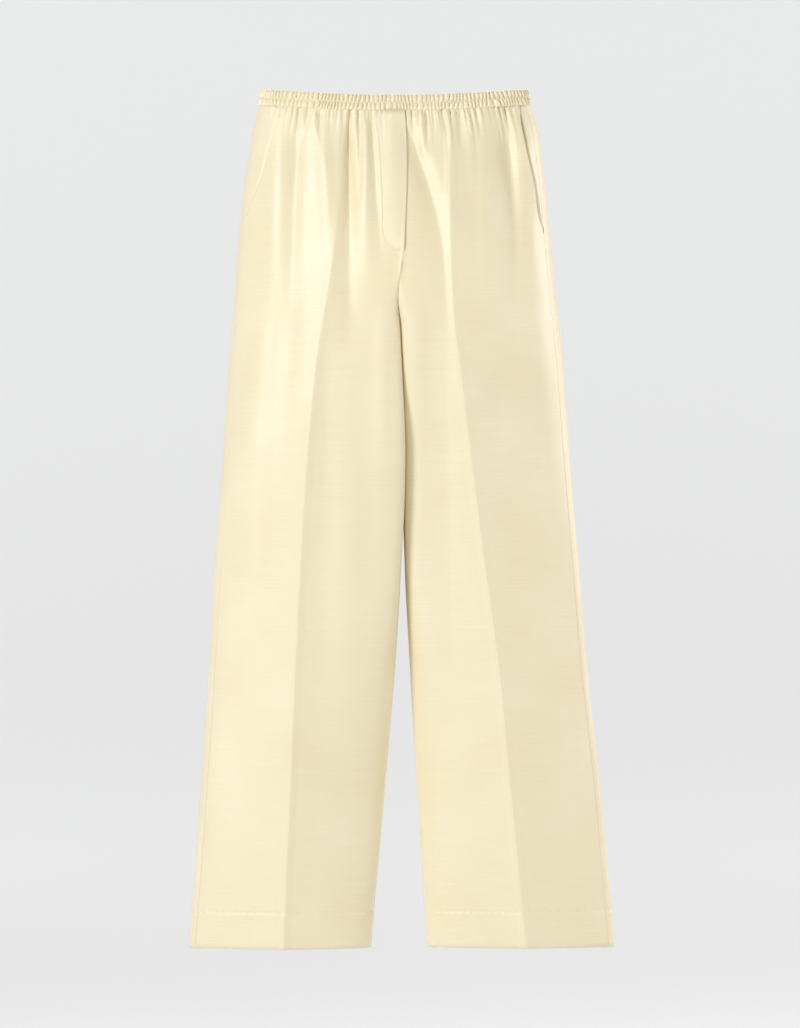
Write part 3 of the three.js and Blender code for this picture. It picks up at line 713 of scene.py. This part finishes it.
def rib_phase(share, drop):
    """Count of ribs up to a share of the way round: the pitch drifts, and the two rows differ a little."""
    turn = 2 * np.pi * share
    lower = ramp(drop, *LOWER_ROW)
    lean = LEAN * (drop - BAND_MIDDLE) * waves(turn, LEAN_WAVES)
    return RIBS * share + waves(turn, PITCH_DRIFT) + lower * waves(turn, ROW_SHIFT) + lean


def rib_out(share, drop):
    """How far the band's outside stands out: two swollen rows, ribbed, and pinched at the stitching."""
    row = np.where(drop < BAND_MIDDLE, (drop - BAND_TOP) / (BAND_MIDDLE - BAND_TOP),
                   (drop - BAND_MIDDLE) / (BAND_HEIGHT - BAND_MIDDLE))
    puff = PUFF * np.sin(np.pi * np.clip(row * 0.96 + 0.02, 0, 1)) ** 0.7
    phase = rib_phase(share, drop)
    rib = np.abs(np.sin(np.pi * phase)) ** 0.6
    size = RIB_SIZE[np.floor(phase).astype(int) % RIBS]
    pinch = 1 - PINCH * np.exp(-((drop - BAND_MIDDLE) / PINCH_LENGTH) ** 2)
    edge = ramp(drop, *LOWER_EDGE)
    ribbed = RIB_HEIGHT * size * (rib - 0.75 + EDGE_LIFT * edge) * pinch * (1 - EDGE_CALM * edge)
    return puff * (0.75 + 0.25 * size) + ribbed


def waistband():
    """The closed tube: up the outside, over the top edge, and down the plainer, ruched inside."""
    angles, length = even_angles(AROUND)
    share = np.arange(AROUND) / AROUND

    def ring(drop, out):
        return ring_point(angles, np.full(AROUND, drop), out)

    def ribs(drop):
        return rib_out(share, np.full(AROUND, drop))

    rising = np.concatenate([np.linspace(BAND_HEIGHT + 0.9, BAND_MIDDLE + 1.2, 10),
                             np.linspace(BAND_MIDDLE + 0.6, BAND_MIDDLE - 0.6, 5),
                             np.linspace(BAND_MIDDLE - 1.2, TOP_EDGE, 10)])
    outer = [ring(drop, ribs(drop)) for drop in rising]
    edge = [ring(TOP_EDGE - 0.8 * np.sin(turn), mix(ribs(TOP_EDGE), BAND_INSIDE, (1 - np.cos(turn)) / 2))
            for turn in np.radians([45, 90, 135])]
    inside = [ring(drop, BAND_INSIDE - RUCHED_INSIDE * ribs(drop))
              for drop in (BAND_TOP + 0.8, 0.5, 4, BAND_MIDDLE, 11, 14, BAND_HEIGHT)]
    points = np.stack(outer + edge + inside + [outer[0]])
    steps = np.linalg.norm(np.diff(points.mean(axis=1, keepdims=True), axis=0), axis=-1)
    height = np.concatenate([[0], np.cumsum(np.maximum(steps[:, 0], 0.3))])
    uv = np.stack(np.broadcast_arrays(share[None, :] * length, height[:, None]), axis=-1)
    return grid_object("ruched_waistband", points[::-1], uv[::-1], [satin], closed=True, thickness=0)


band = waistband()
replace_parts(band, "waistband")
print("ribs", RIBS, "faces", len(band.data.polygons))

# %% [markdown]
# ## Topstitching
# Thread lies on the cloth in short stitches with a small gap between them. A row could be a bump along a
# seam, but close up each stitch catches the light by itself, so each is a small rounded capsule.

# %% A row of stitches
STATIONS = np.array([(0, 0.35), (0.12, 0.85), (0.5, 1.1), (0.88, 0.85), (1, 0.35)])  # along, thickness
SIDES = 6
CAPSULE_FACES = (len(STATIONS) - 1) * SIDES + 2


def stitches(name, starts, ends, radius):
    """One mesh of capsules, each from a start to an end: rings of points along it, narrow at the ends."""
    along = ends - starts
    length = np.linalg.norm(along, axis=-1, keepdims=True)
    way = along / length
    side = np.cross(way, np.where(np.abs(way[:, 2:]) > 0.9, [[0.0, 1, 0]], [[0.0, 0, 1]]))
    side /= np.linalg.norm(side, axis=-1, keepdims=True)
    up = np.cross(side, way)
    angles = (np.arange(SIDES) * 2 * np.pi / SIDES)[:, None]
    centre = starts[:, None, :] + along[:, None, :] * STATIONS[None, :, :1]
    ring = side[:, None, None, :] * np.cos(angles) + up[:, None, None, :] * np.sin(angles)
    points = centre[:, :, None, :] + ring * (radius * STATIONS[:, 1])[None, :, None, None]
    index = np.arange(points.size // 3).reshape(len(starts), len(STATIONS), SIDES)
    loop = np.concatenate([index, index[:, :, :1]], axis=2)
    quads = np.stack([loop[:, :-1, :-1], loop[:, :-1, 1:], loop[:, 1:, 1:], loop[:, 1:, :-1]], -1)
    faces = quads.reshape(-1, 4).tolist() + index[:, 0, ::-1].tolist() + index[:, -1].tolist()
    mesh = bpy.data.meshes.new(name)
    mesh.from_pydata((points.reshape(-1, 3) * MM).tolist(), [], faces)
    mesh.materials.append(thread)
    mesh.shade_smooth()
    piece = bpy.data.objects.new(name, mesh)
    bpy.context.collection.objects.link(piece)
    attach(piece, BODY)
    return piece


def stitch_ends(path, pitch, share=0.78):
    """Starts and ends of stitches along a dense path: one each pitch, with a gap after it."""
    lengths = np.concatenate([[0], np.cumsum(np.linalg.norm(np.diff(path, axis=0), axis=-1))])
    at = np.arange(pitch / 2, lengths[-1] - pitch, pitch)

    def place(where):
        return np.stack([np.interp(where, lengths, path[:, i]) for i in range(3)], axis=-1)
    return place(at), place(at + pitch * share)


# %% Stitching along the middle of the waistband
BAND_PITCH, BAND_THREAD = 2.9, 0.22  # pitch of the stitches and radius of the thread
SMOOTHING = 15  # ribs' points over which the thread runs level
middle_drop = np.full(AROUND, BAND_MIDDLE)
ribbed_out = rib_out(np.arange(AROUND) / AROUND, middle_drop)
level_out = np.convolve(np.tile(ribbed_out, 3), np.ones(SMOOTHING) / SMOOTHING, "same")[AROUND:2 * AROUND]
band_path = ring_point(even_angles(AROUND)[0], middle_drop, level_out + 0.25)
band_stitches = stitches("waistband_stitching", *stitch_ends(band_path, BAND_PITCH), BAND_THREAD)
print(len(band_stitches.data.polygons) // CAPSULE_FACES, "stitches")

# %% [markdown]
# ## The mock fly
# A flap on the wearer's right front, folded along the centre and held down by a J of topstitching. It
# could be drawn as a seam line only, but its folded edge stands proud and throws a fine dark shadow.

# %% The fly's flap
FLY_DROP = 201.5
FLY_CORNER = 27
FLY_OVERLAP = 2.2  # how far the folded edge passes the centre seam
FLY_UNDER, FLY_ROWS, FLY_COLUMNS = 7, 46, 15
FLY_SEWN, FLY_STANDS = 0.12, 2.0  # height of its sewn side, and how much more its folded edge stands out
FLY_CLOTH = 0.4
J_LINE = ([16, 60, 134, 172, 199], [-31, -26.5, -22.9, -21.8, -21.8])


def fly_edges(drop):
    """x of the J line and of the folded edge; the J turns in to the centre in a quarter ellipse."""
    fold = level("innerR", drop) + FLY_OVERLAP
    rounded = np.clip((drop - FLY_DROP + FLY_CORNER) / FLY_CORNER, 0, 1)
    line = curve_through(*J_LINE, drop)
    return mix(fold, line, np.sqrt(1 - rounded**2.4)), fold


def on_front(x, drop, out):
    """A point over the wearer's right front at an x; past the centre seam it goes on level."""
    crease, inner = level("creaseR", drop), level("innerR", drop) - SEAM_GAP / 2
    inside = np.minimum(x, inner)
    turn = np.arccos(np.clip((inside - crease) / (inner - crease), 0, 1)) / (np.pi / 2)
    points = on_cloth("R", turn, drop, out)
    points[..., 0] += x - inside
    return points


def mock_fly():
    """The flap: rows that lie closer at its rounded end, sewn down at the J and folded under at the edge."""
    closer = 1 - (1 - np.linspace(0, 1, FLY_ROWS)) ** 1.7
    drops = BAND_HEIGHT + 0.6 + (FLY_DROP - BAND_HEIGHT - 0.8) * closer
    line, fold = fly_edges(drops)
    back, under = folded_edge(FLY_UNDER)
    width = fold - line
    across = np.linspace(0, 1, FLY_COLUMNS + 1)[:-1]
    x = np.concatenate([line[:, None] + (width - back[-1])[:, None] * across,
                        fold[:, None] - np.minimum(back[::-1][None, :], width[:, None])], axis=1)
    rise = np.concatenate([FLY_SEWN + FLY_STANDS * smooth(across * 1.3), FLY_SEWN + FLY_STANDS + under[::-1]])
    rise = rise * (1 - 0.85 * np.exp(-((FLY_DROP - drops) / 4) ** 2))[:, None]
    drop = np.broadcast_to(drops[:, None], x.shape)
    points = on_front(x, drop, rise)
    uv = np.stack([x, -drop], axis=-1)
    return grid_object("mock_fly_flap", points, uv, [satin], thickness=FLY_CLOTH)


fly = mock_fly()
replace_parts(fly, "mock_fly")

# %% The J of topstitching
FLY_PITCH, FLY_THREAD = 3.1, 0.24
down = np.linspace(BAND_HEIGHT + 2, FLY_DROP - FLY_CORNER, 160)
bend = np.linspace(0, np.pi / 2, 60)[1:]
corner_drop = FLY_DROP - FLY_CORNER + FLY_CORNER * np.sin(bend)
j_drop = np.concatenate([down, np.minimum(corner_drop, FLY_DROP - 0.4)])
j_line, j_fold = fly_edges(j_drop)
j_path = on_front(np.minimum(j_line + 0.9, j_fold - 1), j_drop - 0.4, np.full(j_drop.shape, 0.45))
fly_stitches = stitches("fly_stitching", *stitch_ends(j_path, FLY_PITCH), FLY_THREAD)
print(len(fly_stitches.data.polygons) // CAPSULE_FACES, "stitches")

# %% [markdown]
# ## The pocket facings
# The same satin backs each slanted opening, so that no pocket lining shows in its mouth. It is sewn into
# the side seam and runs in under the front.

# %% A facing behind each opening
FACING_TUCK = 16  # how far it runs in under the front and past the opening's lower end
FACING_ROWS, FACING_COLUMNS = 66, 23
FACING_CLOTH = 0.4
FACING_DEPTH = {"L": 7.0, "R": 3.0}  # how deep it lies in the mouth
FACING_LATE = {"L": 1.2, "R": 0.3}  # how far past the opening it starts to come up to the seam
FACING_SLIT = {"L": 9.0, "R": 3.4}  # over what width it comes up
MOUTH_OPENS, MOUTH_CLOSES, SLIT_WIDENS = (20, 30), (135, 45), (60, 60)
UNDER_FRONT = 1.6  # how deep it lies where the mouth is shut


def facing(name, leg):
    """It lies under the front and comes up to the side seam, over what width the mouth leaves."""
    drops = np.linspace(BAND_HEIGHT + 0.5, POCKET_DROP + FACING_TUCK, FACING_ROWS)
    opening = pocket_edge(leg, drops)
    tuck = FACING_TUCK / np.abs(level("out" + leg, drops) - level("crease" + leg, drops))
    turns, lengths = lengths_round(leg, opening - tuck, np.full(FACING_ROWS, SIDE_SEAM), drops)
    opening_at = np.stack([np.interp(o, t, a) for o, t, a in zip(opening, turns, lengths)])[:, None]
    back, under = folded_edge(ALLOWANCE)
    near = back + SEAM_GAP / 2
    across = np.linspace(0, 1, FACING_COLUMNS + 1)[:-1]
    wanted = np.concatenate([(lengths[:, -1:] - near[-1]) * across, lengths[:, -1:] - near[::-1]], axis=1)
    drop = np.broadcast_to(drops[:, None], wanted.shape)
    open_here = ramp(drop, *MOUTH_OPENS) * (1 - ramp(drop, *MOUTH_CLOSES))
    under_front = mix(UNDER_FRONT, FACING_DEPTH[leg], open_here)
    slit = mix(FACING_SLIT["R"], FACING_SLIT[leg], ramp(drop, *SLIT_WIDENS))
    slit = np.minimum(slit, 0.5 + 0.7 * (lengths[:, -1:] - opening_at))
    rise = smooth((wanted - opening_at - FACING_LATE[leg]) / slit)
    height = np.concatenate([np.zeros(len(across)), under[::-1]])
    out = under_front * (rise - 1) + height
    points = on_cloth(leg, turns_at(lengths, turns, wanted), drop, out)
    uv = np.stack([wanted, -drop], axis=-1)
    if leg == "R":
        points, uv = points[:, ::-1], uv[:, ::-1]
    piece = grid_object(name, points, uv, [satin], thickness=FACING_CLOTH)
    return piece


for side, leg in (("right", "R"), ("left", "L")):
    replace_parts(facing("facing_" + side, leg), "pocket_facing_" + side)

# %% [markdown]
# ## How the pieces are cut
# Each cut's width is along the weft, at its widest, and its length along the leg. The panels are cut wider
# than the waist, and the waistband's strip is nearly half as long again as the waist it is gathered to.

CUTS = {
    # width and length of the cut and its area, in metres, how it is held, and what it lies or hangs on
    "cloth_front_right": (0.30, 1.10, 0.288, "hung", "waistband"),
    "cloth_front_left": (0.30, 1.10, 0.288, "hung", "waistband"),
    "cloth_back_right": (0.45, 1.11, 0.385, "hung", "waistband"),
    "cloth_back_left": (0.45, 1.11, 0.385, "hung", "waistband"),
    "ruched_waistband": (1.08, 0.046, 0.0497, "gathered", "front_right"),
    "mock_fly_flap": (0.045, 0.195, 0.0078, "laid", "front_right"),
    "facing_right": (0.055, 0.19, 0.0085, "laid", "front_right"),
    "facing_left": (0.055, 0.19, 0.0085, "laid", "front_left"),
}
for name, (width, length, area, held, carrier) in CUTS.items():
    print(name, "cut", width, "by", length, "m")

# %% [markdown]
# ## Camera and light
# The garment is seen straight from the front through a long lens, as studio catalogue pictures are taken.
# A large soft light stands to the viewer's left, with a weaker fill and a rim light to the right. Two lights
# keep the pale seamless ground even, and a weak narrow one serves views from behind.

# %% Camera
PIXEL = 1.24 * MM  # one pixel of the picture, at the garment
PICTURE_HEIGHT, WAIST_ROW = 1028, 92  # in pixels
SENSOR = 36
DISTANCE = 8.0
camera_data = bpy.data.cameras.new("camera")
camera = bpy.data.objects.new("camera", camera_data)
bpy.context.collection.objects.link(camera)
camera.location = (0, -DISTANCE, (WAIST_ROW - PICTURE_HEIGHT / 2) * PIXEL)
camera.rotation_euler = (math.radians(90), 0, 0)
camera_data.sensor_width = SENSOR
camera_data.lens = SENSOR * DISTANCE / (PICTURE_HEIGHT * PIXEL)
camera_data.clip_end = 100
bpy.context.scene.camera = camera

# %% Floor and backdrop
FLOOR_Z = -OUTSEAM * MM - 0.24
SWEEP = np.array([  # y and height over the floor: level, then round and up
    (-30, 0), (-12, 0), (7.2, 0), (8.6, 0.12), (9.6, 0.55), (10.2, 1.4), (10.4, 2.6), (10.4, 8),
])
ground = np.stack(np.broadcast_arrays(np.linspace(-30, 30, 41)[None, :], SWEEP[:, :1],
                                      SWEEP[:, 1:] + FLOOR_Z), axis=-1)
index = np.arange(ground.size // 3).reshape(ground.shape[:2])
quads = np.stack([index[:-1, :-1], index[:-1, 1:], index[1:, 1:], index[1:, :-1]], -1).reshape(-1, 4)
backdrop_mesh = bpy.data.meshes.new("backdrop")
backdrop_mesh.from_pydata(ground.reshape(-1, 3).tolist(), [], quads.tolist())
backdrop_mesh.shade_smooth()
backdrop = bpy.data.objects.new("backdrop", backdrop_mesh)
bpy.context.collection.objects.link(backdrop)
curve = backdrop.modifiers.new("smooth sweep", "SUBSURF")
curve.levels = curve.render_levels = 2
paper = bpy.data.materials.new("pale_paper")
paper.use_nodes = True
paper_shader = paper.node_tree.nodes["Principled BSDF"]
paper_shader.inputs["Base Color"].default_value = linear("#A4A6AA")
paper_shader.inputs["Roughness"].default_value = 0.9
paper_shader.inputs["Emission Color"].default_value = (1, 1, 1, 1)
paper_shader.inputs["Emission Strength"].default_value = 0.5
backdrop_mesh.materials.append(paper)


# %% Lights
def area_light(name, place, target, size, power, tint=(1, 1, 1)):
    """A square soft light at a place, turned to a target."""
    data = bpy.data.lights.new(name, "AREA")
    data.shape = "SQUARE"
    data.size = size
    data.energy = power
    data.color = tint
    lamp = bpy.data.objects.new(name, data)
    bpy.context.collection.objects.link(lamp)
    lamp.location = place
    lamp.visible_camera = False
    direction = np.array(target) - np.array(place)
    flat = math.hypot(direction[0], direction[1])
    lamp.rotation_euler = (math.atan2(flat, -direction[2]), 0,
                           math.atan2(direction[1], direction[0]) - math.pi / 2)
    return lamp


middle = (0, 0, -0.5)
area_light("key", (-3.1, -3.4, 1.3), middle, 1.2, 137, (0.95, 0.975, 1))
area_light("fill", (3.8, -2.2, 0.3), middle, 1.6, 36)
area_light("rim", (3.6, 1.4, 0.4), middle, 1.4, 52)
for side in (-1, 1):
    area_light("backdrop_light", (4.2 * side, 5.2, 0.5), (0.8 * side, 9.0, -1.5), 2.6, 58)
area_light("back", (-0.6, 5.0, 2.2), middle, 2.4, 7).data.spread = math.radians(26)
world = bpy.data.worlds.new("studio")
bpy.context.scene.world = world
world.use_nodes = True
world.node_tree.nodes["Background"].inputs["Color"].default_value = (1, 0.965, 0.84, 1)
world.node_tree.nodes["Background"].inputs["Strength"].default_value = 0.42
bpy.context.scene.view_settings.view_transform = "Standard"
